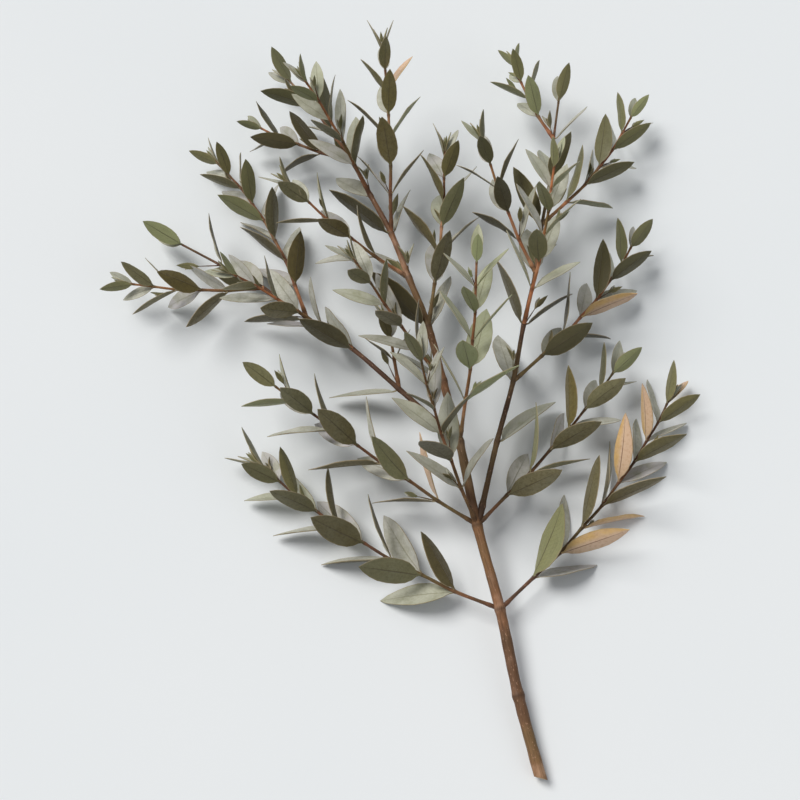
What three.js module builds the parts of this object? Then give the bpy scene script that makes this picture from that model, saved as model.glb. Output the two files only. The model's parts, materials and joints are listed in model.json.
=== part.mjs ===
// A cut branch of small-leaved eucalyptus, lying on a surface.
// Millimetres. X runs across the branch, Y along it towards its tips and Z up from the surface.
// The leaves grow in opposite pairs, each pair turned a quarter turn from the last. The woody stems are turned
// profiles bent along their joints, and each of their leaves is a mesh of its own. A side shoot is one mesh
// with its leaves: a four-sided stem whose sides are drawn out into the leaves at every joint.

import * as THREE from 'three';

// ---- driving dimensions ----

const CUT_END_RADIUS = 3; // the main stem where it was cut
const STEM_TIP_RADIUS = 0.55; // every stem at its last pair of leaves
const FORK_BASE_RADIUS = 1.5; // a fork where it leaves the main stem
const SHOOT_BASE_RADIUS = 0.95; // a side shoot where it leaves its stem
const WOODY_SIDES = 7;
const BUD_LENGTH = 4; // the closed bud past the last pair
const BUD_SHARE = 0.6; // width of the bud's middle over the stem's
const TOUCH_GAP = 0.3; // clear distance between pieces that meet

const LEAF_LENGTH = 38; // a full-grown leaf, its stalk included
const LEAF_WIDTH_SHARE = 0.3; // width over length
const LEAF_THICKNESS = 0.6;
const STALK_WIDTH = 1;
const COLLAR_LENGTH = 1.6; // the stretch of a shoot that a pair of leaves grows from
const LEAF_ARCH = 2.2; // how far a full-grown leaf's tip bends back
const LEAF_SPREAD = 36; // degrees between a leaf and its stem
const TIP_SPREAD = 20; // the same for the last, half-open pair
const LOWEST_STEM = 6; // a shoot rests on its own leaves, this far above the surface
const LOWEST_TIP = 0.9; // a leaf that reaches the surface lies along it at this height

// How much growth varies: degrees for angles, shares for sizes.
const ZIGZAG = 1.6; // a stem turns this much one way, then the other, from joint to joint
const TIP_LOSS = 0.42; // a stem's last leaves are this much smaller than its first
const VARIES = { size: 0.09, round: 13, spread: 6, twist: 24 };
const TRAIT = { size: 1, round: 1.7, spread: 2.3, twist: 3.1 }; // keeps the four from varying together

// ---- the stems ----
// heading: degrees anticlockwise from X, seen from above. lift: degrees above the surface.
// turn and rise: degrees added to them at every pair. step: first distance between pairs, shrink: each
// next one over the last. bare: joints below the first pair, bareStep apart. grade: leaf size over full size.
// phase: degrees of the first pair round the stem. fallen: leaves that are gone, by pair and side (1 or -1).

const STEM_DEFAULTS = { rise: 0, bare: 0, bareStep: 0, shrink: 0.93, grade: 1, fallen: [] };

const WOODY_STEMS = [
  { name: 'main_stem', start: [40, -150, 3.1], heading: 103, lift: 5, turn: 3, rise: -1.4, bare: 4,
    bareStep: 44, pairs: 9, step: 33, radius: CUT_END_RADIUS, phase: 62,
    fallen: [[0, 1], [2, -1], [4, 1], [5, 1]] },
  { name: 'left_fork', from: 'main_stem', joint: 4, heading: 136, lift: 0, turn: 3.2, rise: -0.2,
    pairs: 6, step: 35, radius: FORK_BASE_RADIUS, phase: 20, fallen: [[0, 1], [2, -1], [4, -1]] },
  { name: 'right_fork', from: 'main_stem', joint: 3, heading: 75, lift: 7, turn: 1.2, rise: -1.2,
    pairs: 8, step: 35, shrink: 0.94, radius: FORK_BASE_RADIUS, phase: -25,
    fallen: [[0, -1], [1, 1], [3, -1], [4, 1], [6, 1]] },
];

const SIDE_SHOOTS = [
  { name: 'low_left_shoot', from: 'main_stem', joint: 2, heading: 157, lift: 1, turn: -2.5, pairs: 9, step: 20,
    phase: 30 },
  { name: 'low_right_shoot', from: 'main_stem', joint: 2, heading: 42, lift: 0, turn: 2.5, pairs: 9, step: 20,
    phase: -50 },
  { name: 'mid_left_shoot', from: 'main_stem', joint: 3, heading: 148, lift: 9, turn: -0.5, pairs: 8, step: 19,
    grade: 0.95, phase: 10 },
  { name: 'mid_right_shoot', from: 'main_stem', joint: 3, heading: 44, lift: 4, turn: 1.5, pairs: 7, step: 18,
    grade: 0.9, phase: 55 },
  { name: 'mid_top_shoot', from: 'main_stem', joint: 3, heading: 118, lift: 42, turn: -2, pairs: 6, step: 18,
    grade: 0.9, phase: 45 },
  { name: 'fork_top_shoot', from: 'main_stem', joint: 4, heading: 80, lift: 38, turn: 2, pairs: 6, step: 18,
    grade: 0.85, phase: 10 },
  { name: 'leader_shoot_1', from: 'main_stem', joint: 5, heading: 134, lift: 34, turn: -1, pairs: 5, step: 17,
    grade: 0.8, phase: 35 },
  { name: 'leader_shoot_2', from: 'main_stem', joint: 6, heading: 80, lift: 10, turn: 2, pairs: 6, step: 17,
    grade: 0.85, phase: 70 },
  { name: 'leader_shoot_3', from: 'main_stem', joint: 7, heading: 150, lift: 16, turn: -3, pairs: 5, step: 17,
    grade: 0.75, phase: 25 },
  { name: 'leader_shoot_4', from: 'main_stem', joint: 8, heading: 90, lift: 22, turn: 1, pairs: 7, step: 16,
    grade: 0.75, phase: 0 },
  { name: 'leader_shoot_5', from: 'main_stem', joint: 10, heading: 160, lift: -6, turn: -3, pairs: 4, step: 14,
    grade: 0.7, phase: 40 },
  { name: 'leader_top_shoot', from: 'main_stem', joint: 9, heading: 122, lift: 36, turn: 2, pairs: 5, step: 15,
    grade: 0.75, phase: 60 },
  { name: 'left_shoot_1', from: 'left_fork', joint: 1, heading: 98, lift: 10, turn: 3, pairs: 3, step: 12,
    grade: 0.5, phase: 15 },
  { name: 'left_shoot_2', from: 'left_fork', joint: 3, heading: 108, lift: -3, turn: 3.5, pairs: 8, step: 16,
    grade: 0.8, phase: 60 },
  { name: 'left_shoot_3', from: 'left_fork', joint: 4, heading: 184, lift: 2, turn: -3, pairs: 5, step: 15,
    grade: 0.75, phase: -20 },
  { name: 'left_top_shoot', from: 'left_fork', joint: 2, heading: 152, lift: 30, turn: 2, pairs: 5, step: 16,
    grade: 0.8, phase: 50 },
  { name: 'right_shoot_1', from: 'right_fork', joint: 2, heading: 42, lift: -3, turn: 3, pairs: 7, step: 17,
    grade: 0.85, phase: 55 },
  { name: 'right_shoot_2', from: 'right_fork', joint: 4, heading: 117, lift: 20, turn: -2, pairs: 5, step: 16,
    grade: 0.75, phase: 5 },
  { name: 'right_shoot_3', from: 'right_fork', joint: 5, heading: 44, lift: -6, turn: 4, pairs: 6, step: 16,
    grade: 0.8, phase: -35 },
  { name: 'right_shoot_4', from: 'right_fork', joint: 7, heading: 118, lift: -5, turn: -4, pairs: 4, step: 13,
    grade: 0.65, phase: 80 },
  { name: 'right_top_shoot', from: 'right_fork', joint: 3, heading: 74, lift: 38, turn: 2, pairs: 6, step: 16,
    grade: 0.8, phase: 20 },
];

// Cross-sections of a blade: place along the leaf, and half width over half the leaf's width.
const BLADE_SECTIONS = [
  [0.2, 0.66],
  [0.44, 1],
  [0.74, 0.62],
];

// ---- colours ----

const BARK = new THREE.MeshStandardMaterial({ color: 0x8f5a40, roughness: 0.7, metalness: 0 });
const SHOOT = new THREE.MeshStandardMaterial({ color: 0x6b6647, roughness: 0.65, metalness: 0 });
const LEAF = new THREE.MeshStandardMaterial({ color: 0x625d42, roughness: 0.6, metalness: 0 });

// ---- growth ----

const GOLDEN = 0.61803;
const QUARTER = 90;
const toRadians = THREE.MathUtils.degToRad;

/** An even, repeatable spread of values between -1 and 1. */
function wobble(seed) {
  const turns = seed * GOLDEN;
  return 2 * (turns - Math.floor(turns)) - 1;
}

/** How far one of a leaf's traits is from its usual value. */
function varied(seed, trait) {
  return VARIES[trait] * wobble(seed * TRAIT[trait]);
}

function direction(heading, lift) {
  const h = toRadians(heading);
  const l = toRadians(lift);
  return new THREE.Vector3(Math.cos(h) * Math.cos(l), Math.sin(h) * Math.cos(l), Math.sin(l));
}

/** The places of a stem's joints, from its base to its last pair of leaves. */
function growJoints(stem, start) {
  const joints = [start];
  let step = stem.step;
  for (let i = 0; i < stem.bare + stem.pairs; i += 1) {
    const leafy = Math.max(0, i - stem.bare);
    const zigzag = i % 2 === 0 ? ZIGZAG : -ZIGZAG;
    const way = direction(stem.heading + stem.turn * leafy + zigzag, stem.lift + stem.rise * leafy);
    const isBare = i < stem.bare;
    const place = joints[i].clone().addScaledVector(way, isBare ? stem.bareStep : step);
    place.z = Math.max(place.z, LOWEST_STEM);
    joints.push(place);
    step *= isBare ? 1 : stem.shrink;
  }
  return joints;
}

/** Radius of a stem at joint i: an even taper from its base to its last pair. */
function radiusAt(stem, i) {
  return THREE.MathUtils.lerp(stem.radius, STEM_TIP_RADIUS, i / (stem.bare + stem.pairs));
}

/** The way that a stem runs at joint i, halfway between the stretches before and after it. */
function wayAt(joints, i) {
  const before = joints[Math.max(0, i - 1)];
  const after = joints[Math.min(joints.length - 1, i + 1)];
  return after.clone().sub(before).normalize();
}

/** Sideways and upward directions round a stem that runs along way. */
function framed(way) {
  const side = new THREE.Vector3().crossVectors(way, new THREE.Vector3(0, 0, 1)).normalize();
  const up = new THREE.Vector3().crossVectors(side, way);
  return { side, up };
}

/** A woody stem: a turned profile with a ring at every joint, bent along the joints. */
function woodyGeometry(stem, joints) {
  const last = joints.length - 1;
  const profile = [new THREE.Vector2(0, 0)];
  joints.forEach((_, i) => profile.push(new THREE.Vector2(radiusAt(stem, i), i)));
  profile.push(new THREE.Vector2(STEM_TIP_RADIUS * BUD_SHARE, last + 0.6));
  profile.push(new THREE.Vector2(0, last + 1));

  const geometry = new THREE.LatheGeometry(profile, WOODY_SIDES);
  const vertices = geometry.getAttribute('position');
  for (let v = 0; v < vertices.count; v += 1) {
    const along = vertices.getY(v);
    const i = Math.min(Math.floor(along + 1e-6), last);
    const way = wayAt(joints, i);
    const { side, up } = framed(way);
    const place = joints[i].clone();
    place.addScaledVector(way, (along - i) * BUD_LENGTH);
    place.addScaledVector(side, vertices.getX(v));
    place.addScaledVector(up, vertices.getZ(v));
    vertices.setXYZ(v, place.x, place.y, place.z);
  }
  return geometry;
}

/** A closed skin of four-cornered rings, which run anticlockwise seen from where the skin grows to. */
class Skin {
  constructor() {
    this.points = [];
    this.triangles = [];
  }

  ring(corners) {
    const first = this.points.length;
    this.points.push(...corners);
    return corners.map((_, k) => first + k);
  }

  side(a, b, c, d) {
    this.triangles.push(a, b, c, a, c, d);
  }

  band(lower, upper, open = []) {
    for (let k = 0; k < 4; k += 1) {
      const next = (k + 1) % 4;
      if (!open.includes(k)) this.side(lower[k], lower[next], upper[next], upper[k]);
    }
  }

  point(ring, apex) {
    const [tip] = this.ring([apex]);
    for (let k = 0; k < 4; k += 1) this.triangles.push(ring[k], ring[(k + 1) % 4], tip);
  }

  geometry() {
    const geometry = new THREE.BufferGeometry().setFromPoints(this.points);
    geometry.setIndex(this.triangles);
    geometry.computeVertexNormals();
    return geometry;
  }
}

/** A leaf drawn out of the open ring of a skin: its stalk, its blade and its tip. */
function growLeaf(skin, openRing, { base, length, turned }) {
  const arch = (LEAF_ARCH * length) / LEAF_LENGTH;
  const placed = (across, along, face) => {
    const bent = face - arch * (along / length) ** 2;
    return new THREE.Vector3(across, along, bent).applyQuaternion(turned).add(base);
  };
  const section = (share, half) => {
    const thick = LEAF_THICKNESS / 2;
    const corners = [[half, -thick], [-half, -thick], [-half, thick], [half, thick]];
    return corners.map(([across, face]) => placed(across, share * length, face));
  };

  let ring = openRing;
  const stalkEnd = skin.ring(section(0.07, STALK_WIDTH / 2));
  skin.band(ring, stalkEnd);
  ring = stalkEnd;
  for (const [share, width] of BLADE_SECTIONS) {
    const next = skin.ring(section(share, (width * length * LEAF_WIDTH_SHARE) / 2));
    skin.band(ring, next);
    ring = next;
  }
  skin.point(ring, placed(0, length, 0));
}

/** A leaf on its own: its stalk starts with a closed end. */
function leafGeometry(leaf) {
  const skin = new Skin();
  const half = STALK_WIDTH / 2;
  const thick = LEAF_THICKNESS / 2;
  const corners = [[half, -thick], [-half, -thick], [-half, thick], [half, thick]];
  const stalk = skin.ring(corners.map(([across, face]) => new THREE.Vector3(across, 0, face)));
  skin.side(stalk[3], stalk[2], stalk[1], stalk[0]);
  growLeaf(skin, stalk, { base: new THREE.Vector3(), length: leaf.length, turned: new THREE.Quaternion() });
  return skin.geometry();
}

/** A side shoot with its leaves. Side k of its stem faces a quarter turn back round from side k - 1. */
function shootGeometry(shoot, joints, leaves) {
  const skin = new Skin();
  const squareRing = (place, way, radius) => {
    const { side, up } = framed(way);
    const corners = [0, 1, 2, 3].map((k) => {
      const round = toRadians(shoot.phase + QUARTER * (0.5 - k));
      const outward = side.clone().multiplyScalar(Math.cos(round)).addScaledVector(up, Math.sin(round));
      return place.clone().addScaledVector(outward, radius);
    });
    return skin.ring(corners);
  };

  let ring = squareRing(joints[0], wayAt(joints, 0), shoot.radius);
  skin.side(ring[3], ring[2], ring[1], ring[0]);
  for (let i = 1; i < joints.length; i += 1) {
    const way = wayAt(joints, i);
    const radius = radiusAt(shoot, i);
    const halfCollar = way.clone().multiplyScalar(COLLAR_LENGTH / 2);
    const lower = squareRing(joints[i].clone().sub(halfCollar), way, radius);
    const upper = squareRing(joints[i].clone().add(halfCollar), way, radius);
    skin.band(ring, lower);
    const pair = leaves.filter((leaf) => leaf.pair === i - 1);
    const drawn = pair.map((leaf) => (4 - (leaf.pair % 4) + (leaf.sideSign > 0 ? 0 : 2)) % 4);
    skin.band(lower, upper, drawn);
    pair.forEach((leaf, n) => {
      const k = drawn[n];
      const next = (k + 1) % 4;
      growLeaf(skin, [lower[k], lower[next], upper[next], upper[k]], leaf);
    });
    ring = upper;
  }
  const last = joints.length - 1;
  skin.point(ring, joints[last].clone().addScaledVector(wayAt(joints, last), BUD_LENGTH));
  return skin.geometry();
}

/** Where a leaf's stalk starts, how long the leaf is and how it is turned. */
function leafPlacement(stem, joints, pair, sideSign, seed, clearance) {
  const i = stem.bare + pair + 1;
  const way = wayAt(joints, i);
  const { side, up } = framed(way);
  const share = pair / (stem.pairs - 1);
  const isLast = pair === stem.pairs - 1;

  const size = stem.grade * (1 - TIP_LOSS * share * share) * (1 + varied(seed, 'size'));
  const length = LEAF_LENGTH * size;
  const round = toRadians(stem.phase + QUARTER * (pair + 1 - sideSign) + varied(seed, 'round'));
  const spread = toRadians((isLast ? TIP_SPREAD : LEAF_SPREAD) + varied(seed, 'spread'));
  const twist = toRadians(varied(seed, 'twist'));

  const outward = side.multiplyScalar(Math.cos(round)).addScaledVector(up, Math.sin(round));
  const base = joints[i].clone().addScaledVector(outward, clearance);
  const along = way.clone().multiplyScalar(Math.cos(spread)).addScaledVector(outward, Math.sin(spread));
  const tipHeight = base.z + length * along.z;
  if (tipHeight < LOWEST_TIP) {
    along.z = (LOWEST_TIP - base.z) / length;
    const level = Math.hypot(along.x, along.y);
    const wanted = Math.sqrt(1 - along.z * along.z);
    along.x *= wanted / level;
    along.y *= wanted / level;
  }
  const face = way.clone().addScaledVector(along, -way.dot(along)).normalize();
  face.applyAxisAngle(along, twist);
  const across = new THREE.Vector3().crossVectors(along, face);
  const turned = new THREE.Quaternion().setFromRotationMatrix(new THREE.Matrix4().makeBasis(across, along, face));
  return { base, length, turned };
}

/** Every leaf of a stem that hasn't fallen. */
function leavesOf(stem, joints, stemNumber, clearanceAt) {
  const leaves = [];
  for (let pair = 0; pair < stem.pairs; pair += 1) {
    for (const sideSign of [1, -1]) {
      const fell = stem.fallen.some(([p, s]) => p === pair && s === sideSign);
      if (!fell) {
        const seed = 31 * stemNumber + 2 * pair + (sideSign > 0 ? 1 : 2);
        const clearance = clearanceAt(radiusAt(stem, stem.bare + pair + 1));
        leaves.push({ pair, sideSign, ...leafPlacement(stem, joints, pair, sideSign, seed, clearance) });
      }
    }
  }
  return leaves;
}

// ---- the branch ----

const group = new THREE.Group();
group.name = 'eucalyptus_branch';
const grown = {};

function named(name, geometry, material) {
  const mesh = new THREE.Mesh(geometry, material);
  mesh.name = name;
  group.add(mesh);
  return mesh;
}

/** Where a stem starts: its own place, or out along its way until it is clear of the stem it grows from. */
function startOf(stem) {
  if (!stem.from) return new THREE.Vector3(...stem.start);
  const parent = grown[stem.from];
  const way = direction(stem.heading, stem.lift);
  const place = parent.joints[stem.joint].clone();
  const onward = parent.joints[stem.joint + 1].clone().sub(place).normalize();
  const angle = way.angleTo(onward);
  const apart = radiusAt(parent.stem, stem.joint) + stem.radius * Math.cos(angle) + TOUCH_GAP;
  return place.addScaledVector(way, apart / Math.sin(angle));
}

WOODY_STEMS.forEach((given, number) => {
  const stem = { ...STEM_DEFAULTS, ...given };
  const joints = growJoints(stem, startOf(stem));
  grown[stem.name] = { stem, joints };
  named(stem.name, woodyGeometry(stem, joints), BARK);
  for (const leaf of leavesOf(stem, joints, number, (radius) => radius + TOUCH_GAP + LEAF_THICKNESS / 2)) {
    const letter = leaf.sideSign > 0 ? 'a' : 'b';
    const blade = named(`${stem.name}_leaf_${leaf.pair + 1}${letter}`, leafGeometry(leaf), LEAF);
    blade.position.copy(leaf.base);
    blade.quaternion.copy(leaf.turned);
  }
});

SIDE_SHOOTS.forEach((given, number) => {
  const shoot = { ...STEM_DEFAULTS, radius: SHOOT_BASE_RADIUS, ...given };
  const joints = growJoints(shoot, startOf(shoot));
  grown[shoot.name] = { stem: shoot, joints };
  const leaves = leavesOf(shoot, joints, number + WOODY_STEMS.length, (radius) => radius * 0.7);
  named(shoot.name, shootGeometry(shoot, joints, leaves), SHOOT);
});

// The origin is the middle of the branch's outline, on the surface that it lies on.
const outline = new THREE.Box3().setFromObject(group, true);
const middle = outline.getCenter(new THREE.Vector3());
group.position.set(-middle.x, -middle.y, -outline.min.z);

export default group;
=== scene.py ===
"""A cut branch of small-leaved eucalyptus, lying on a pale surface.

The branch is grown from the same plan as its solid model: stems step from joint to joint, and a pair of leaves
stands at every leafy joint, a quarter turn round from the pair before. Every fine piece stands for the plain
solid of the same stem, leaf or shoot.
"""

import json
import logging
import math
from collections.abc import Callable, Iterator
from dataclasses import dataclass, field
from enum import Enum

import bpy
import numpy as np
from mathutils import Matrix, Quaternion, Vector

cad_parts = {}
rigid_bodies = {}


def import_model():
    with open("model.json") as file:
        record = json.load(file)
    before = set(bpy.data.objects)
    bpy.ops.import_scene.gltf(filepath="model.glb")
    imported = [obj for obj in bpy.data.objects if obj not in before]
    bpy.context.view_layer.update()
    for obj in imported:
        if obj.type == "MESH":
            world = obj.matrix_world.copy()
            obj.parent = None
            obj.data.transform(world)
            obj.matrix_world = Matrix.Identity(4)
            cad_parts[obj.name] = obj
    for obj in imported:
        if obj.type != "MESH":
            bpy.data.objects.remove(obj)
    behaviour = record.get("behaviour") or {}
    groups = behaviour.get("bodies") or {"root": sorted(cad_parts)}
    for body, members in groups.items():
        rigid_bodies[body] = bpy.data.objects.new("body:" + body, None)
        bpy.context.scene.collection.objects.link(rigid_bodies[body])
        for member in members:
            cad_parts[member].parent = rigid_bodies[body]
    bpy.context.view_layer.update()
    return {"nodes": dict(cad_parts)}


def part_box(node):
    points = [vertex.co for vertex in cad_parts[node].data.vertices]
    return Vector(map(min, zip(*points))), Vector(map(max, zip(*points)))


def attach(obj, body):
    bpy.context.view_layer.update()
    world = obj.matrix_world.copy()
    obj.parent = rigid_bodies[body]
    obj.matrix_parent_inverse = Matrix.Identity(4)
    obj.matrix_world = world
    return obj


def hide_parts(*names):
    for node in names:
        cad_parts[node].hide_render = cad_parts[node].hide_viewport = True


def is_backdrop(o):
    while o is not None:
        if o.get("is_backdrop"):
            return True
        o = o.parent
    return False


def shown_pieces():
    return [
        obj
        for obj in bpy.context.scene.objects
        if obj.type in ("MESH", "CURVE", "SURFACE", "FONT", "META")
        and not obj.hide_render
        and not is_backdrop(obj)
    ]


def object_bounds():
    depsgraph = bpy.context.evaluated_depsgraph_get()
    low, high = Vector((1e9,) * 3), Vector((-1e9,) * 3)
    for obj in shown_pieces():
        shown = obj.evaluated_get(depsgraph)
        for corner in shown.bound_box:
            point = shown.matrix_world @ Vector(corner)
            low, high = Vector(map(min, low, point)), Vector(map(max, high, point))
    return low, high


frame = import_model()

LOG = logging.getLogger("branch")
MM = 0.001
UP = Vector((0.0, 0.0, 1.0))
QUARTER = 90.0
GOLDEN = 0.61803


# ---- growth, as in the solid model ----

LEAF_LENGTH = 38.0
LEAF_WIDTH_SHARE = 0.3
LEAF_THICKNESS = 0.6
LEAF_ARCH = 2.2
LEAF_SPREAD = 36.0
TIP_SPREAD = 20.0
CUT_END_RADIUS = 3.0
FORK_BASE_RADIUS = 1.5
SHOOT_BASE_RADIUS = 0.95
STEM_TIP_RADIUS = 0.55
BUD_LENGTH = 4.0
TOUCH_GAP = 0.3
LOWEST_STEM = 6.0
LOWEST_TIP = 0.9
ZIGZAG = 1.6
TIP_LOSS = 0.42
VARIES = {"size": 0.09, "round": 13.0, "spread": 6.0, "twist": 24.0}
TRAIT = {"size": 1.0, "round": 1.7, "spread": 2.3, "twist": 3.1}


def wobble(seed: float) -> float:
    """Return an even, repeatable spread of values between -1 and 1."""
    turns = seed * GOLDEN
    return 2.0 * (turns - math.floor(turns)) - 1.0


def varied(seed: float, trait: str) -> float:
    """Return how far one of a leaf's traits is from its usual value."""
    return VARIES[trait] * wobble(seed * TRAIT[trait])


def direction(heading: float, lift: float) -> Vector:
    """Return the unit vector of a heading from +X and a lift above the surface, both in degrees."""
    h, up = math.radians(heading), math.radians(lift)
    return Vector((math.cos(h) * math.cos(up), math.sin(h) * math.cos(up), math.sin(up)))


class Sort(Enum):
    """The two sorts of stem."""

    WOODY = "woody"
    SHOOT = "shoot"


@dataclass(frozen=True)
class StemPlan:
    """How one stem grows: millimetres and degrees, with the joint that it grows from."""

    name: str
    heading: float
    lift: float
    turn: float
    pairs: int
    step: float
    phase: float
    parent: str = ""
    joint: int = 0
    rise: float = 0.0
    bare: int = 0
    bare_step: float = 0.0
    shrink: float = 0.93
    radius: float = SHOOT_BASE_RADIUS
    grade: float = 1.0
    fallen: tuple[tuple[int, int], ...] = ()
    sort: Sort = Sort.SHOOT


MAIN_START = Vector((40.0, -150.0, 3.1))

WOODY_PLANS = (
    StemPlan("main_stem", 103, 5, 3, 9, 33, 62, rise=-1.4, bare=4, bare_step=44, radius=CUT_END_RADIUS,
             fallen=((0, 1), (2, -1), (4, 1), (5, 1)), sort=Sort.WOODY),
    StemPlan("left_fork", 136, 0, 3.2, 6, 35, 20, "main_stem", 4, rise=-0.2, radius=FORK_BASE_RADIUS,
             fallen=((0, 1), (2, -1), (4, -1)), sort=Sort.WOODY),
    StemPlan("right_fork", 75, 7, 1.2, 8, 35, -25, "main_stem", 3, rise=-1.2, shrink=0.94,
             radius=FORK_BASE_RADIUS, fallen=((0, -1), (1, 1), (3, -1), (4, 1), (6, 1)), sort=Sort.WOODY),
)

SHOOT_PLANS = (
    StemPlan("low_left_shoot", 157, 1, -2.5, 9, 20, 30, "main_stem", 2),
    StemPlan("low_right_shoot", 42, 0, 2.5, 9, 20, -50, "main_stem", 2),
    StemPlan("mid_left_shoot", 148, 9, -0.5, 8, 19, 10, "main_stem", 3, grade=0.95),
    StemPlan("mid_right_shoot", 44, 4, 1.5, 7, 18, 55, "main_stem", 3, grade=0.9),
    StemPlan("mid_top_shoot", 118, 42, -2, 6, 18, 45, "main_stem", 3, grade=0.9),
    StemPlan("fork_top_shoot", 80, 38, 2, 6, 18, 10, "main_stem", 4, grade=0.85),
    StemPlan("leader_shoot_1", 134, 34, -1, 5, 17, 35, "main_stem", 5, grade=0.8),
    StemPlan("leader_shoot_2", 80, 10, 2, 6, 17, 70, "main_stem", 6, grade=0.85),
    StemPlan("leader_shoot_3", 150, 16, -3, 5, 17, 25, "main_stem", 7, grade=0.75),
    StemPlan("leader_shoot_4", 90, 22, 1, 7, 16, 0, "main_stem", 8, grade=0.75),
    StemPlan("leader_shoot_5", 160, -6, -3, 4, 14, 40, "main_stem", 10, grade=0.7),
    StemPlan("leader_top_shoot", 122, 36, 2, 5, 15, 60, "main_stem", 9, grade=0.75),
    StemPlan("left_shoot_1", 98, 10, 3, 3, 12, 15, "left_fork", 1, grade=0.5),
    StemPlan("left_shoot_2", 108, -3, 3.5, 8, 16, 60, "left_fork", 3, grade=0.8),
    StemPlan("left_shoot_3", 184, 2, -3, 5, 15, -20, "left_fork", 4, grade=0.75),
    StemPlan("left_top_shoot", 152, 30, 2, 5, 16, 50, "left_fork", 2, grade=0.8),
    StemPlan("right_shoot_1", 42, -3, 3, 7, 17, 55, "right_fork", 2, grade=0.85),
    StemPlan("right_shoot_2", 117, 20, -2, 5, 16, 5, "right_fork", 4, grade=0.75),
    StemPlan("right_shoot_3", 44, -6, 4, 6, 16, -35, "right_fork", 5, grade=0.8),
    StemPlan("right_shoot_4", 118, -5, -4, 4, 13, 80, "right_fork", 7, grade=0.65),
    StemPlan("right_top_shoot", 74, 38, 2, 6, 16, 20, "right_fork", 3, grade=0.8),
)


@dataclass(frozen=True)
class LeafPlace:
    """Where one leaf's stalk starts, how long it is and how it is turned."""

    pair: int
    side: int
    seed: int
    anchor: Vector
    base: Vector
    length: float
    turned: Matrix


@dataclass
class GrownStem:
    """A stem whose joints have found their places, in millimetres."""

    plan: StemPlan
    number: int
    joints: list[Vector]

    def radius_at(self, i: float) -> float:
        """Return the radius at joint i: an even taper from the base to the last pair."""
        share = i / (self.plan.bare + self.plan.pairs)
        return self.plan.radius + (STEM_TIP_RADIUS - self.plan.radius) * share

    def way_at(self, i: int) -> Vector:
        """Return the way that the stem runs at joint i."""
        before = self.joints[max(0, i - 1)]
        after = self.joints[min(len(self.joints) - 1, i + 1)]
        return (after - before).normalized()

    def leaf(self, pair: int, side: int) -> LeafPlace:
        """Place one leaf of a pair.

        Args:
            pair: number of the pair, from 0 at the first leafy joint.
            side: 1 for the first leaf of the pair and -1 for the one opposite.

        Returns:
            The leaf's place, in millimetres.
        """
        plan = self.plan
        i = plan.bare + pair + 1
        seed = 31 * self.number + 2 * pair + (1 if side > 0 else 2)
        way = self.way_at(i)
        across_stem = way.cross(UP).normalized()
        up = across_stem.cross(way)
        share = pair / (plan.pairs - 1)
        last = pair == plan.pairs - 1

        length = LEAF_LENGTH * plan.grade * (1 - TIP_LOSS * share * share) * (1 + varied(seed, "size"))
        around = math.radians(plan.phase + QUARTER * (pair + 1 - side) + varied(seed, "round"))
        spread = math.radians((TIP_SPREAD if last else LEAF_SPREAD) + varied(seed, "spread"))
        outward = across_stem * math.cos(around) + up * math.sin(around)
        radius = self.radius_at(i)
        clear = radius + TOUCH_GAP + LEAF_THICKNESS / 2 if plan.sort is Sort.WOODY else radius * 0.7
        base = self.joints[i] + outward * clear
        along = way * math.cos(spread) + outward * math.sin(spread)
        if base.z + length * along.z < LOWEST_TIP:
            along.z = (LOWEST_TIP - base.z) / length
            level = math.hypot(along.x, along.y)
            wanted = math.sqrt(1 - along.z * along.z)
            along.x *= wanted / level
            along.y *= wanted / level
        face = (way - along * way.dot(along)).normalized()
        face = Quaternion(along, math.radians(varied(seed, "twist"))) @ face
        anchor = self.joints[i] + outward * radius * 0.5
        return LeafPlace(pair, side, seed, anchor, base, length, turned_to(along, face))

    def leaves(self) -> Iterator[LeafPlace]:
        """Yield every leaf of the stem that hasn't fallen."""
        for pair in range(self.plan.pairs):
            for side in (1, -1):
                if (pair, side) not in self.plan.fallen:
                    yield self.leaf(pair, side)


def turned_to(along: Vector, face: Vector) -> Matrix:
    """Return the turn that takes X, Y and Z to a leaf's width, length and inner face."""
    across = along.cross(face)
    return Matrix((across, along, face)).transposed()


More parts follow.
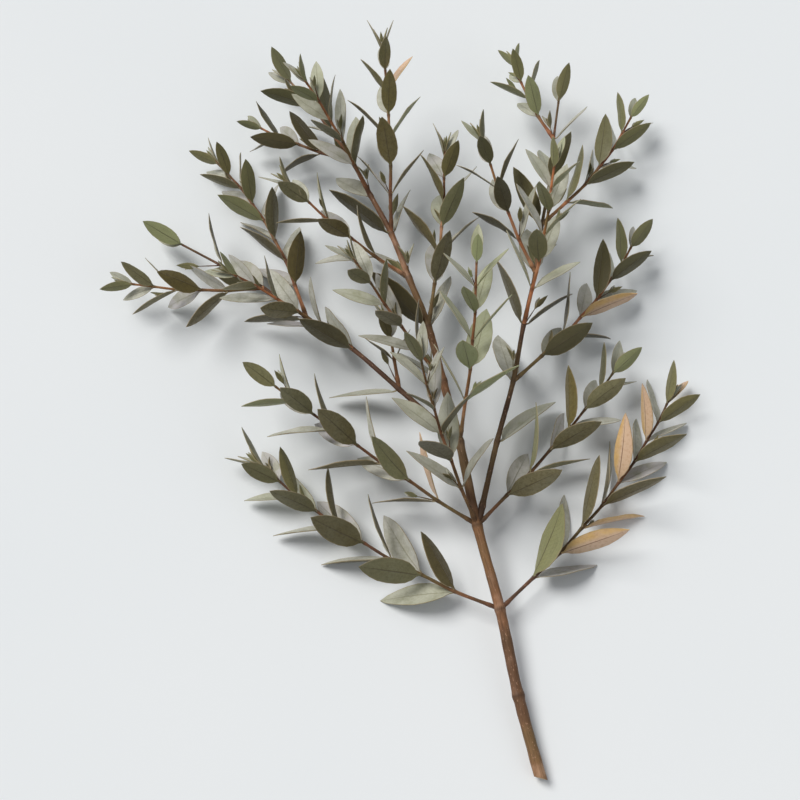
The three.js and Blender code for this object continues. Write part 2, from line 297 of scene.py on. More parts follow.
@dataclass
class Growth:
    """All the stems of the branch, moved to where the solid model has them."""

    stems: dict[str, GrownStem] = field(default_factory=dict)

    def start_of(self, plan: StemPlan) -> Vector:
        """Return where a stem starts: clear of the stem that it grows from."""
        if not plan.parent:
            return MAIN_START.copy()
        parent = self.stems[plan.parent]
        way = direction(plan.heading, plan.lift)
        place = parent.joints[plan.joint]
        onward = (parent.joints[plan.joint + 1] - place).normalized()
        angle = way.angle(onward)
        apart = parent.radius_at(plan.joint) + plan.radius * math.cos(angle) + TOUCH_GAP
        return place + way * (apart / math.sin(angle))

    def grow(self, plan: StemPlan, number: int) -> None:
        """Step one stem from joint to joint.

        Args:
            plan: the stem's plan.
            number: its number among all the stems, which seeds its leaves' variety.
        """
        joints = [self.start_of(plan)]
        step = plan.step
        for i in range(plan.bare + plan.pairs):
            leafy = max(0, i - plan.bare)
            zigzag = ZIGZAG if i % 2 == 0 else -ZIGZAG
            way = direction(plan.heading + plan.turn * leafy + zigzag, plan.lift + plan.rise * leafy)
            place = joints[i] + way * (plan.bare_step if i < plan.bare else step)
            place.z = max(place.z, LOWEST_STEM)
            joints.append(place)
            step *= 1.0 if i < plan.bare else plan.shrink
        self.stems[plan.name] = GrownStem(plan, number, joints)

    def settle(self) -> None:
        """Move every joint so that the main stem's bud lies where the solid model has it."""
        main = self.stems["main_stem"]
        bud = main.joints[-1] + main.way_at(len(main.joints) - 1) * BUD_LENGTH
        solid = frame["nodes"]["main_stem"].data.vertices
        far = max((v.co for v in solid), key=lambda co: co.y)
        shift = Vector(far) / MM - bud
        for stem in self.stems.values():
            stem.joints = [joint + shift for joint in stem.joints]

    @classmethod
    def whole(cls) -> "Growth":
        """Grow every stem in order and settle them on the surface."""
        growth = cls()
        for number, plan in enumerate(WOODY_PLANS + SHOOT_PLANS):
            growth.grow(plan, number)
        growth.settle()
        return growth


# ---- modelling by hand ----


def only(*things: bpy.types.Object) -> None:
    """Select these objects and nothing else, with the first of them active."""
    if bpy.context.object and bpy.context.object.mode != "OBJECT":
        bpy.ops.object.mode_set(mode="OBJECT")
    bpy.ops.object.select_all(action="DESELECT")
    for thing in things:
        thing.select_set(True)
    bpy.context.view_layer.objects.active = things[0]


def select_points(thing: bpy.types.Object, wanted: Callable[[Vector], bool]) -> None:
    """Select the points of a mesh in edit mode by where they are.

    Args:
        thing: the active object, which is left in edit mode.
        wanted: says of a point's place whether it is selected.
    """
    bpy.ops.object.mode_set(mode="EDIT")
    bpy.ops.mesh.select_mode(type="VERT")
    bpy.ops.mesh.select_all(action="DESELECT")
    bpy.ops.object.mode_set(mode="OBJECT")
    for vertex in thing.data.vertices:
        vertex.select = wanted(vertex.co)
    bpy.ops.object.mode_set(mode="EDIT")


def places_of(mesh: bpy.types.Mesh) -> np.ndarray:
    """Return the places of a mesh's points, one row each."""
    flat = np.empty(len(mesh.vertices) * 3)
    mesh.vertices.foreach_get("co", flat)
    return flat.reshape(-1, 3)


def put_places(mesh: bpy.types.Mesh, places: np.ndarray) -> None:
    """Move a mesh's points."""
    mesh.vertices.foreach_set("co", places.astype(np.float32).ravel())
    mesh.update()


def give_value(mesh: bpy.types.Mesh, name: str, values: np.ndarray | float, domain: str = "POINT") -> None:
    """Store a number on every point or face of a mesh.

    Args:
        mesh: the mesh.
        name: the attribute's name, which its finish reads.
        values: one number for each, or one for all.
        domain: POINT or FACE.
    """
    count = len(mesh.vertices) if domain == "POINT" else len(mesh.polygons)
    layer = mesh.attributes.get(name) or mesh.attributes.new(name, "FLOAT", domain)
    layer.data.foreach_set("value", np.broadcast_to(np.asarray(values, np.float32), count).copy())


def give_vectors(mesh: bpy.types.Mesh, name: str, vectors: np.ndarray) -> None:
    """Store one vector on each point."""
    store = mesh.attributes.new(name, "FLOAT_VECTOR", "POINT")
    store.data.foreach_set("vector", vectors.astype(np.float32).ravel())


def another(mesh: bpy.types.Mesh, name: str) -> bpy.types.Object:
    """Put an object with its own copy of a mesh into the scene."""
    thing = bpy.data.objects.new(name, mesh.copy())
    bpy.context.scene.collection.objects.link(thing)
    return thing


def joined(name: str, parts: list[bpy.types.Object]) -> bpy.types.Object:
    """Join several objects into one piece with a name of its own."""
    only(*parts)
    if len(parts) > 1:
        bpy.ops.object.join()
    whole = bpy.context.view_layer.objects.active
    whole.name = name
    whole.data.name = name
    return whole


# ---- finishes ----


Socket = bpy.types.NodeSocket


def paint(red: int, green: int, blue: int) -> tuple[float, float, float, float]:
    """Return a paint-chart colour, 0 to 255 each, as the linear colour that a shader takes."""

    def linear(value: int) -> float:
        share = value / 255
        return share / 12.92 if share <= 0.04045 else ((share + 0.055) / 1.055) ** 2.4

    return (linear(red), linear(green), linear(blue), 1.0)


class NodeSheet:
    """A material's nodes, with short calls for the ones that the finishes share."""

    def __init__(self, name: str) -> None:
        """Start a material with only its shader and its output."""
        self.material = bpy.data.materials.new(name)
        self.material.use_nodes = True
        self.nodes = self.material.node_tree.nodes
        self.links = self.material.node_tree.links
        self.nodes.clear()
        self.shader = self.nodes.new("ShaderNodeBsdfPrincipled")
        output = self.nodes.new("ShaderNodeOutputMaterial")
        self.links.new(self.shader.outputs["BSDF"], output.inputs["Surface"])

    def feed(self, socket: Socket, value: "Socket | float | tuple") -> None:
        """Link a socket to a node's output, or set it to a plain value."""
        if isinstance(value, bpy.types.NodeSocket):
            self.links.new(value, socket)
        else:
            socket.default_value = value

    def calc(self, how: str, first: "Socket | float", second: "Socket | float" = 0.0) -> Socket:
        """Return the result of one sum on two numbers."""
        node = self.nodes.new("ShaderNodeMath")
        node.operation = how
        self.feed(node.inputs[0], first)
        self.feed(node.inputs[1], second)
        return node.outputs[0]

    def step(self, value: Socket, low: float, high: float, to_low: float = 0.0, to_high: float = 1.0) -> Socket:
        """Return a smooth rise from one value to another as the input goes from low to high."""
        node = self.nodes.new("ShaderNodeMapRange")
        node.interpolation_type = "SMOOTHSTEP"
        self.feed(node.inputs["Value"], value)
        node.inputs["From Min"].default_value = low
        node.inputs["From Max"].default_value = high
        node.inputs["To Min"].default_value = to_low
        node.inputs["To Max"].default_value = to_high
        return node.outputs["Result"]

    def mix(self, share: "Socket | float", first: "Socket | tuple", second: "Socket | tuple") -> Socket:
        """Return a mix of two colours."""
        node = self.nodes.new("ShaderNodeMix")
        node.data_type = "RGBA"
        self.feed(node.inputs[0], share)
        self.feed(node.inputs[6], first)
        self.feed(node.inputs[7], second)
        return node.outputs[2]

    def noise(self, place: Socket, scale: float, detail: float = 3.0, rough: float = 0.55) -> Socket:
        """Return an even noise over the surface."""
        node = self.nodes.new("ShaderNodeTexNoise")
        node.inputs["Scale"].default_value = scale
        node.inputs["Detail"].default_value = detail
        node.inputs["Roughness"].default_value = rough
        self.feed(node.inputs["Vector"], place)
        return node.outputs["Fac"]

    def stored(self, name: str, as_vector: bool = False) -> Socket:
        """Return a value that is stored on the mesh."""
        node = self.nodes.new("ShaderNodeAttribute")
        node.attribute_name = name
        return node.outputs["Vector" if as_vector else "Fac"]

    def object_place(self) -> Socket:
        """Return the place on the object, in metres."""
        return self.nodes.new("ShaderNodeTexCoord").outputs["Object"]

    def along_and_across(self, uv_map: str) -> tuple[Socket, Socket]:
        """Return a UV map's two numbers, across first."""
        parts = self.nodes.new("ShaderNodeSeparateXYZ")
        self.links.new(self.blade_spot(uv_map), parts.inputs[0])
        return parts.outputs[0], parts.outputs[1]

    def blade_spot(self, uv_map: str) -> Socket:
        """Return a UV map as a place."""
        uv = self.nodes.new("ShaderNodeUVMap")
        uv.uv_map = uv_map
        return uv.outputs["UV"]

    def stretched(self, place: Socket, scale: tuple[float, float, float]) -> Socket:
        """Return a place stretched differently each way."""
        node = self.nodes.new("ShaderNodeMapping")
        node.inputs["Scale"].default_value = scale
        self.feed(node.inputs["Vector"], place)
        return node.outputs["Vector"]

    def relief(self, height: Socket, depth: float, strength: float = 1.0) -> None:
        """Give the shader a relief: depth in metres for a height of 1."""
        node = self.nodes.new("ShaderNodeBump")
        node.inputs["Distance"].default_value = depth
        node.inputs["Strength"].default_value = strength
        self.feed(node.inputs["Height"], height)
        self.links.new(node.outputs["Normal"], self.shader.inputs["Normal"])


@dataclass(frozen=True)
class LeafFinish:
    """A waxy leaf: olive and dark-ribbed outside, silvery inside, tan where it has aged."""

    olive: tuple = paint(110, 95, 44)
    dark_olive: tuple = paint(64, 57, 33)
    deep_green: tuple = paint(63, 58, 36)
    grey_green: tuple = paint(128, 122, 91)
    fresh: tuple = paint(164, 171, 122)
    silver: tuple = paint(201, 201, 191)
    dull_silver: tuple = paint(146, 145, 124)
    lilac_grey: tuple = paint(192, 188, 193)
    tan: tuple = paint(224, 193, 164)
    golden: tuple = paint(226, 188, 122)
    brown: tuple = paint(178, 128, 84)
    dried_rib: tuple = paint(116, 68, 44)
    outer_rib: tuple = paint(70, 58, 34)
    inner_rib: tuple = paint(134, 130, 98)
    margin: tuple = paint(158, 140, 102)
    cloud_scale: float = 140
    mottle_scale: float = 620
    speck_scale: float = 2300
    relief_scale: float = 1500

    def make(self) -> bpy.types.Material:
        """Build the material.

        Returns:
            The material, which reads the leaf's UV map and its inner_face, tone, deep, fresh and age values.
        """
        sheet = NodeSheet("leaf_wax")
        across, along = sheet.along_and_across("blade")
        place = sheet.object_place()
        inner = sheet.stored("inner_face")
        from_rib = sheet.calc("ABSOLUTE", sheet.calc("SUBTRACT", across, 0.5))
        clouds = sheet.noise(place, self.cloud_scale, 3)
        mottle = sheet.noise(place, self.mottle_scale, 4, 0.65)

        cloudy = sheet.calc("MULTIPLY", sheet.calc("SUBTRACT", clouds, 0.5), 0.9)
        tone = sheet.step(sheet.calc("ADD", sheet.stored("tone"), cloudy), -0.1, 1.1)
        outer_colour = sheet.mix(tone, self.olive, self.grey_green)
        outer_colour = sheet.mix(sheet.step(mottle, 0.42, 0.74, 0.0, 0.5), outer_colour, self.dark_olive)
        outer_colour = sheet.mix(sheet.stored("deep"), outer_colour, self.deep_green)
        outer_colour = sheet.mix(sheet.stored("fresh"), outer_colour, self.fresh)
        fibres = sheet.noise(sheet.stretched(sheet.blade_spot("blade"), (46.0, 3.2, 1.0)), 1.0, 3, 0.6)
        specks = sheet.noise(place, self.speck_scale, 2)
        grainy = sheet.calc("ADD", sheet.step(fibres, 0.45, 0.7, 0.0, 0.26), sheet.step(specks, 0.56, 0.7, 0.0, 0.24))
        outer_colour = sheet.mix(grainy, outer_colour, self.dark_olive)
        dulled = sheet.calc("ADD", sheet.step(mottle, 0.35, 0.75, 0.0, 0.34), sheet.step(clouds, 0.35, 0.7, 0.0, 0.5))
        dulled = sheet.calc("ADD", dulled, sheet.calc("MULTIPLY", grainy, 0.5))
        inner_colour = sheet.mix(dulled, self.silver, self.dull_silver)
        clear = sheet.step(clouds, 0.4, 0.65, 0.8, 0.2)
        lilac = sheet.calc("MULTIPLY", sheet.step(sheet.stored("tone"), 0.3, 0.75), clear)
        inner_colour = sheet.mix(lilac, inner_colour, self.lilac_grey)
        inner_colour = sheet.mix(sheet.calc("MULTIPLY", sheet.stored("deep"), 0.5), inner_colour, self.dull_silver)
        fresh_inside = sheet.calc("MULTIPLY", sheet.stored("fresh"), 0.6)
        inner_colour = sheet.mix(fresh_inside, inner_colour, self.fresh)

        rib_reach = sheet.calc("SUBTRACT", 0.046, sheet.calc("MULTIPLY", along, 0.03))
        rib = sheet.step(sheet.calc("DIVIDE", from_rib, rib_reach), 0.25, 1.0, 1.0, 0.0)
        slant = sheet.calc("SUBTRACT", along, sheet.calc("MULTIPLY", from_rib, 0.42))
        waves = sheet.calc("SINE", sheet.calc("MULTIPLY", slant, 95.0))
        veins = sheet.calc("MULTIPLY", sheet.step(waves, 0.72, 1.0), sheet.step(from_rib, 0.5, 0.1, 0.0, 1.0))
        outer_lines = sheet.calc("MAXIMUM", sheet.calc("MULTIPLY", rib, 0.62), sheet.calc("MULTIPLY", veins, 0.16))
        inner_lines = sheet.calc("MAXIMUM", sheet.calc("MULTIPLY", rib, 0.6), sheet.calc("MULTIPLY", veins, 0.2))
        outer_colour = sheet.mix(outer_lines, outer_colour, self.outer_rib)
        inner_colour = sheet.mix(inner_lines, inner_colour, self.inner_rib)
        colour = sheet.mix(inner, outer_colour, inner_colour)

        outward = sheet.calc("ADD", sheet.calc("MULTIPLY", along, 0.5), 0.75)
        dry = sheet.calc("MULTIPLY", sheet.stored("age"), outward)
        dry = sheet.calc("ADD", dry, sheet.step(clouds, 0.6, 0.78, 0.0, 0.14))
        browned = sheet.calc("MULTIPLY", from_rib, 0.35)
        browned = sheet.calc("ADD", browned, sheet.step(mottle, 0.42, 0.8, 0.0, 0.45))
        gold = sheet.calc("MULTIPLY", sheet.step(across, 0.52, 0.82), sheet.step(clouds, 0.25, 0.6, 0.35, 1.0))
        dried = sheet.mix(gold, self.tan, self.golden)
        dried = sheet.mix(browned, dried, self.brown)
        dried = sheet.mix(sheet.calc("MULTIPLY", rib, 0.8), dried, self.dried_rib)
        colour = sheet.mix(sheet.step(dry, 0.05, 0.95), colour, dried)
        edge = sheet.step(from_rib, 0.455, 0.5, 0.0, 0.6)
        colour = sheet.mix(edge, colour, self.margin)
        sheet.feed(sheet.shader.inputs["Base Color"], colour)

        sheet.feed(sheet.shader.inputs["Roughness"], sheet.step(mottle, 0.3, 0.75, 0.4, 0.6))
        sheet.shader.inputs["Specular IOR Level"].default_value = 0.42
        sheet.shader.inputs["Sheen Weight"].default_value = 0.08
        height = sheet.calc("ADD", sheet.calc("MULTIPLY", rib, 1.0), sheet.calc("MULTIPLY", veins, 0.3))
        height = sheet.calc("ADD", height, sheet.calc("MULTIPLY", sheet.noise(place, self.relief_scale, 3), 0.5))
        sheet.relief(height, 0.00022, 0.8)
        return sheet.material


@dataclass(frozen=True)
class BarkFinish:
    """Thin bark: striped along the stem, from nearly black to orange from stem to stem, with small pale pores and
    pale pink patches of painted highlight.
    """

    name: str
    red_brown: tuple = paint(142, 100, 68)
    # Pale pink: the colour of the bark's pores, and of the painted highlight where light falls on the stem.
    pink_highlight_and_pores: tuple = paint(196, 156, 128)
    umber: tuple = paint(86, 58, 42)
    terracotta: tuple = paint(204, 128, 82)
    dark: tuple = paint(64, 44, 30)
    green: tuple = paint(112, 98, 58)
    greenness: float = 0.15
    pale_wood: tuple = paint(214, 192, 150)
    ring_wood: tuple = paint(176, 144, 100)
    streak_scale: float = 1900
    patch_scale: float = 55
    pore_scale: float = 1300
    ring_scale: float = 420

    def make(self) -> bpy.types.Material:
        """Build the material.

        Returns:
            The material, which reads the stem's grain places and its hue, cut and node_shade values.
        """
        sheet = NodeSheet(self.name)
        grain = sheet.stored("grain", as_vector=True)
        place = sheet.object_place()
        streaks = sheet.noise(sheet.stretched(grain, (1.0, 1.0, 0.07)), self.streak_scale, 4, 0.6)
        patches = sheet.noise(place, self.patch_scale, 3)
        pores = sheet.noise(sheet.stretched(grain, (1.0, 1.0, 0.5)), self.pore_scale, 1)

        shaded = sheet.step(sheet.noise(place, 38, 2), 0.38, 0.6, 0.0, 0.6)
        hue = sheet.calc("ADD", sheet.stored("hue"), sheet.step(patches, 0.3, 0.7, -0.16, 0.16))
        colour = sheet.mix(sheet.step(hue, 0.0, 0.45), self.umber, self.red_brown)
        colour = sheet.mix(sheet.step(hue, 0.5, 0.95), colour, self.terracotta)
        # Painted highlight: pale pink patches that stand for the lit side of the more orange stems.
        painted_highlight = sheet.calc("MULTIPLY", sheet.step(patches, 0.5, 0.7), sheet.step(hue, 0.2, 0.6))
        colour = sheet.mix(painted_highlight, colour, self.pink_highlight_and_pores)
        colour = sheet.mix(shaded, colour, self.dark)
        green_share = sheet.step(sheet.noise(place, 30, 2), 0.45, 0.7, 0.0, self.greenness * 3)
        colour = sheet.mix(green_share, colour, self.green)
        colour = sheet.mix(sheet.step(streaks, 0.45, 0.75, 0.0, 0.7), colour, self.dark)
        colour = sheet.mix(sheet.step(pores, 0.66, 0.74, 0.0, 0.5), colour, self.pink_highlight_and_pores)
        colour = sheet.mix(sheet.calc("MULTIPLY", sheet.stored("node_shade"), 0.6), colour, self.dark)

        rings = sheet.nodes.new("ShaderNodeTexWave")
        rings.wave_type = "RINGS"
        rings.rings_direction = "Z"
        rings.inputs["Scale"].default_value = self.ring_scale
        rings.inputs["Distortion"].default_value = 1.2
        sheet.feed(rings.inputs["Vector"], grain)
        wood = sheet.mix(sheet.calc("MULTIPLY", rings.outputs["Fac"], 0.6), self.pale_wood, self.ring_wood)
        colour = sheet.mix(sheet.stored("cut"), colour, wood)
        sheet.feed(sheet.shader.inputs["Base Color"], colour)
        sheet.feed(sheet.shader.inputs["Roughness"], sheet.step(streaks, 0.3, 0.75, 0.5, 0.78))
        sheet.shader.inputs["Specular IOR Level"].default_value = 0.35
        height = sheet.calc("ADD", streaks, sheet.calc("MULTIPLY", pores, 0.5))
        sheet.relief(height, 0.00025, 0.9)
        return sheet.material


@dataclass
class Finishes:
    """The branch's materials."""

    leaf: bpy.types.Material
    bark: bpy.types.Material
    young_bark: bpy.types.Material

    @classmethod
    def made(cls) -> "Finishes":
        """Make each material once."""
        return cls(
            leaf=LeafFinish().make(),
            bark=BarkFinish("woody_bark").make(),
            # The young bark's pale pink is its pores' colour and its painted highlight.
            young_bark=BarkFinish("young_bark", greenness=0.3, red_brown=paint(150, 98, 62),
                                  pink_highlight_and_pores=paint(208, 156, 120)).make(),
        )


# ---- leaves ----


@dataclass(frozen=True)
class Season:
    """How far a stem's leaves have gone: the share that has dried, and how fresh the rest are."""

    dryness: float = 0.015
    freshness: float = 0.0


SEASONS = {
    "low_right_shoot": Season(dryness=0.26),
    "right_shoot_1": Season(dryness=0.08),
    "fork_top_shoot": Season(dryness=0.0, freshness=1.0),
    "right_top_shoot": Season(freshness=0.3),
    "right_shoot_3": Season(freshness=0.2),
    "right_shoot_4": Season(freshness=0.35),
    "leader_top_shoot": Season(freshness=0.15),
}


@dataclass(frozen=True)
class LeafShape:
    """How one leaf differs from the flat pattern: degrees for turns, shares of its length for the rest."""

    fold: float = 12.0
    arch: float = LEAF_ARCH / LEAF_LENGTH
    recurve: float = 0.0
    sickle: float = 0.0
    torsion: float = 0.0
    wave: float = 0.0
    width: float = 1.0
    tone: float = 0.3
    deep: float = 0.0
    fresh: float = 0.0
    age: float = 0.0

    @classmethod
    def grown(cls, seed: float, youth: float, season: Season) -> "LeafShape":
        """Vary a leaf's shape and colour.

        Args:
            seed: the leaf's own number.
            youth: 0 for a stem's oldest leaf and 1 for its youngest.
            season: how far the stem's leaves have gone.

        Returns:
            The leaf's shape.
        """
        dried = wobble(seed * 5.3) > 1 - 2 * season.dryness
        paler = max(0.0, wobble(seed * 4.7) - 0.55)
        return cls(
            fold=13 + 7 * wobble(seed * 2.9),
            arch=(LEAF_ARCH + 0.9 * wobble(seed * 1.9)) / LEAF_LENGTH,
            recurve=0.03 * wobble(seed * 3.7),
            sickle=0.05 * wobble(seed * 2.1),
            torsion=16 * wobble(seed * 4.3),
            wave=0.012 * wobble(seed * 6.1),
            width=1.15 + 0.13 * wobble(seed * 3.3),
            tone=0.34 + 0.46 * wobble(seed * 7.7),
            deep=max(0.0, 0.38 + 0.45 * wobble(seed * 9.7)),
            fresh=min(0.95, 0.22 * youth * youth + paler + season.freshness * (0.8 + 0.35 * wobble(seed * 8.9))),
            age=0.8 if dried else 0.0,
        )


@dataclass
class LeafPattern:
    """The leaf that others are copied from, one long, along Y with its inner face up.

    rows holds each row's place along the leaf, and its half width over the leaf's greatest half width.
    """

    name: str
    rows: tuple[tuple[float, float], ...]
    across: int = 4
    stalk: float = 0.07
    thickness: float = 0.0095
    finish: bpy.types.Material | None = None
    mesh: bpy.types.Mesh | None = None

    def build(self) -> None:
        """Model the leaf: a sheet narrowed row by row, closed at its tip and given its thickness."""
        bpy.ops.object.select_all(action="DESELECT")
        bpy.ops.mesh.primitive_grid_add(x_subdivisions=self.across, y_subdivisions=len(self.rows) - 1, size=1,
                                        location=(0, 0, 0))
        leaf = bpy.context.object
        leaf.data.uv_layers.active.name = "blade"
        last = len(self.rows) - 1
        for number, (along, half) in enumerate(self.rows):
            start = number / last - 0.5
            select_points(leaf, lambda co, y=start: abs(co.y - y) < 1e-4 and abs(co.z) < 1e-4)
            wide = max(half, 1e-4) * LEAF_WIDTH_SHARE
            bpy.ops.transform.resize(value=(wide, 1, 1), center_override=(0, start, 0))
            bpy.ops.transform.translate(value=(0, along - start, 2.0))
        bpy.ops.mesh.select_all(action="SELECT")
        bpy.ops.transform.translate(value=(0, 0, -2.0))
        select_points(leaf, lambda co: co.y > 1 - 1e-4)
        bpy.ops.mesh.merge(type="CENTER")
        bpy.ops.object.mode_set(mode="OBJECT")
        self.measure_blade(leaf.data)

        wall = leaf.modifiers.new("thickness", "SOLIDIFY")
        wall.thickness = self.thickness
        wall.offset = 0
        only(leaf)
        bpy.ops.object.modifier_apply(modifier=wall.name)
        select_points(leaf, lambda co: co.y < self.stalk + 1e-3)
        bpy.ops.transform.resize(value=(1, 1, 2.1), center_override=(0, 0, 0))
        select_points(leaf, lambda co: abs(co.x) < 1e-4 and self.stalk < co.y < 0.9 and co.z < 0)
        bpy.ops.transform.translate(value=(0, 0, -0.0035))
        bpy.ops.object.mode_set(mode="OBJECT")
        self.mark_faces(leaf.data)
        leaf.data.materials.append(self.finish)
        leaf.name = self.name
        self.mesh = leaf.data.copy()
        self.mesh.name = self.name
        bpy.data.objects.remove(leaf)

    def measure_blade(self, mesh: bpy.types.Mesh) -> None:
        """Set the blade map's second number to the place along the leaf."""
        layer = mesh.uv_layers["blade"].data
        for loop, spot in zip(mesh.loops, layer):
            spot.uv.y = mesh.vertices[loop.vertex_index].co.y

    def mark_faces(self, mesh: bpy.types.Mesh) -> None:
        """Store which faces are inner ones: 1 inside, 0 outside and between the two at the rim."""
        lean = np.array([face.normal.z for face in mesh.polygons])
        give_value(mesh, "inner_face", np.where(lean > 0.3, 1.0, np.where(lean < -0.3, 0.0, 0.4)), "FACE")

    def copied(self, name: str, place: LeafPlace, shape: LeafShape) -> bpy.types.Object:
        """Make one leaf with a mesh of its own.

        Args:
            name: the new object's name.
            place: where the leaf grows, in millimetres.
            shape: how it is folded, bent and coloured.

        Returns:
            The leaf, at its place, in metres.
        """
        leaf = another(self.mesh, name)
        mesh = leaf.data
        flat = places_of(mesh)
        middle = self.bent(flat * np.array([1, 1, 0]), shape)
        offset = self.bent(flat, shape) - middle
        turned = np.array(place.turned)
        base = np.array(place.base)
        world = base + place.length * middle @ turned.T
        skin = offset @ turned.T * LEAF_LENGTH * max(0.7, place.length / LEAF_LENGTH)
        root = np.clip(1 - flat[:, 1:2] / self.stalk, 0, 1) ** 1.5
        world += root * (np.array(place.anchor) - base)
        world[:, 2] = resting(world[:, 2])
        put_places(mesh, (world + skin) * MM)
        for trait in ("tone", "deep", "fresh", "age"):
            give_value(mesh, trait, getattr(shape, trait))
        return leaf

    def bent(self, flat: np.ndarray, shape: LeafShape) -> np.ndarray:
        """Fold, twist and bend the flat pattern.

        Args:
            flat: the pattern's places, one row each.
            shape: how much of each.

        Returns:
            The bent places.
        """
        x, y, z = (flat[:, n].copy() for n in range(3))
        blade = np.clip((y - self.stalk) / (1 - self.stalk), 0, 1)
        x *= shape.width
        side = np.abs(x)
        z += side * math.tan(math.radians(shape.fold)) * (1 - 0.45 * blade)
        z += shape.wave * np.sin(2 * math.pi * (1.6 * y + shape.tone)) * side / 0.15 * np.sign(x)
        turn = np.radians(shape.torsion) * (blade - 0.25)
        x, z = x * np.cos(turn) + z * np.sin(turn), z * np.cos(turn) - x * np.sin(turn)
        z -= shape.arch * y * y + shape.recurve * blade * blade * (1 - blade) * 3
        x += shape.sickle * (y * y - 0.55 * y)
        return np.stack([x, y, z], axis=1)


@dataclass
class StalkPattern:
    """The thin stalk that every sprout's is copied from, one long and one in radius, along Z."""

    name: str
    sides: int = 6
    finish: bpy.types.Material | None = None
    mesh: bpy.types.Mesh | None = None

    def build(self) -> None:
        """Model the stalk: a rod divided along its length, tapered and swollen a little in the middle."""
        bpy.ops.object.select_all(action="DESELECT")
        bpy.ops.mesh.primitive_cylinder_add(vertices=self.sides, radius=1, depth=1, end_fill_type="TRIFAN",
                                            location=(0, 0, 0.5))
        stalk = bpy.context.object
        only(stalk)
        bpy.ops.object.transform_apply(location=True, rotation=False, scale=False)
        for height in (0.3, 0.55):
            bpy.ops.object.mode_set(mode="EDIT")
            bpy.ops.mesh.select_all(action="SELECT")
            bpy.ops.mesh.bisect(plane_co=(0, 0, height), plane_no=(0, 0, 1))
            bpy.ops.object.mode_set(mode="OBJECT")
        for height, girth in ((0.3, 0.85), (0.55, 0.95), (1.0, 0.5)):
            select_points(stalk, lambda co, z=height: abs(co.z - z) < 1e-3)
            bpy.ops.transform.resize(value=(girth, girth, 1), center_override=(0, 0, height))
        bpy.ops.object.mode_set(mode="OBJECT")
        while stalk.data.uv_layers:
            stalk.data.uv_layers.remove(stalk.data.uv_layers[0])
        stalk.data.uv_layers.new(name="blade")
        stalk.data.materials.append(self.finish)
        self.mesh = stalk.data.copy()
        self.mesh.name = self.name
        bpy.data.objects.remove(stalk)

    def copied(self, name: str, start: Vector, way: Vector, length: float, radius: float) -> bpy.types.Object:
        """Make one stalk with a mesh of its own.

        Args:
            name: the new object's name.
            start: where it grows from, in millimetres.
            way: the way that it runs.
            length: its length.
            radius: its radius at the base.

        Returns:
            The stalk, at its place, in metres.
        """
        stalk = another(self.mesh, name)
        grown = places_of(stalk.data) * np.array([radius, radius, length])
        give_vectors(stalk.data, "grain", grown * MM)
        across = way.cross(UP).normalized()
        world = np.array(start) + grown @ np.array([across, way.cross(across), way])
        world[:, 2] = np.maximum(world[:, 2], TOUCH_GAP)
        put_places(stalk.data, world * MM)
        return stalk


def resting(height: np.ndarray, floor: float = 0.45, give: float = 0.7) -> np.ndarray:
    """Ease heights, in millimetres, so that none is under the surface that the branch lies on."""
    reach = np.clip((height - floor) / give, -40, 40)
    return np.where(reach > 30, height, floor + give * np.log1p(np.exp(reach)))


BLADE_ROWS = ((0.0, 0.085), (0.045, 0.08), (0.08, 0.2), (0.13, 0.5), (0.22, 0.8), (0.35, 0.97), (0.5, 1.0),
              (0.65, 0.91), (0.79, 0.68), (0.91, 0.36), (1.0, 0.0))
LEAFLET_ROWS = ((0.0, 0.12), (0.1, 0.2), (0.28, 0.86), (0.5, 1.0), (0.76, 0.6), (1.0, 0.0))


# ---- stems ----


def smooth_line(points: np.ndarray, spacing: float) -> tuple[np.ndarray, np.ndarray]:
    """Draw a smooth line through a stem's joints.

    Args:
        points: the joints, in millimetres.
        spacing: about how far apart the line's points are.

    Returns:
        The line's points, and each one's place counted in joints.
    """
    ends = np.vstack([2 * points[0] - points[1], points, 2 * points[-1] - points[-2]])
    line, count = [], []
    for n in range(len(points) - 1):
        before, start, stop, after = ends[n:n + 4]
        steps = max(3, round(float(np.linalg.norm(stop - start)) / spacing))
        for k in range(steps):
            t = k / steps
            line.append(0.5 * (2 * start + (stop - before) * t + (2 * before - 5 * start + 4 * stop - after) * t * t
                               + (3 * start - before - 3 * stop + after) * t ** 3))
            count.append(n + t)
    line.append(points[-1])
    count.append(len(points) - 1)
    return np.array(line), np.array(count, float)


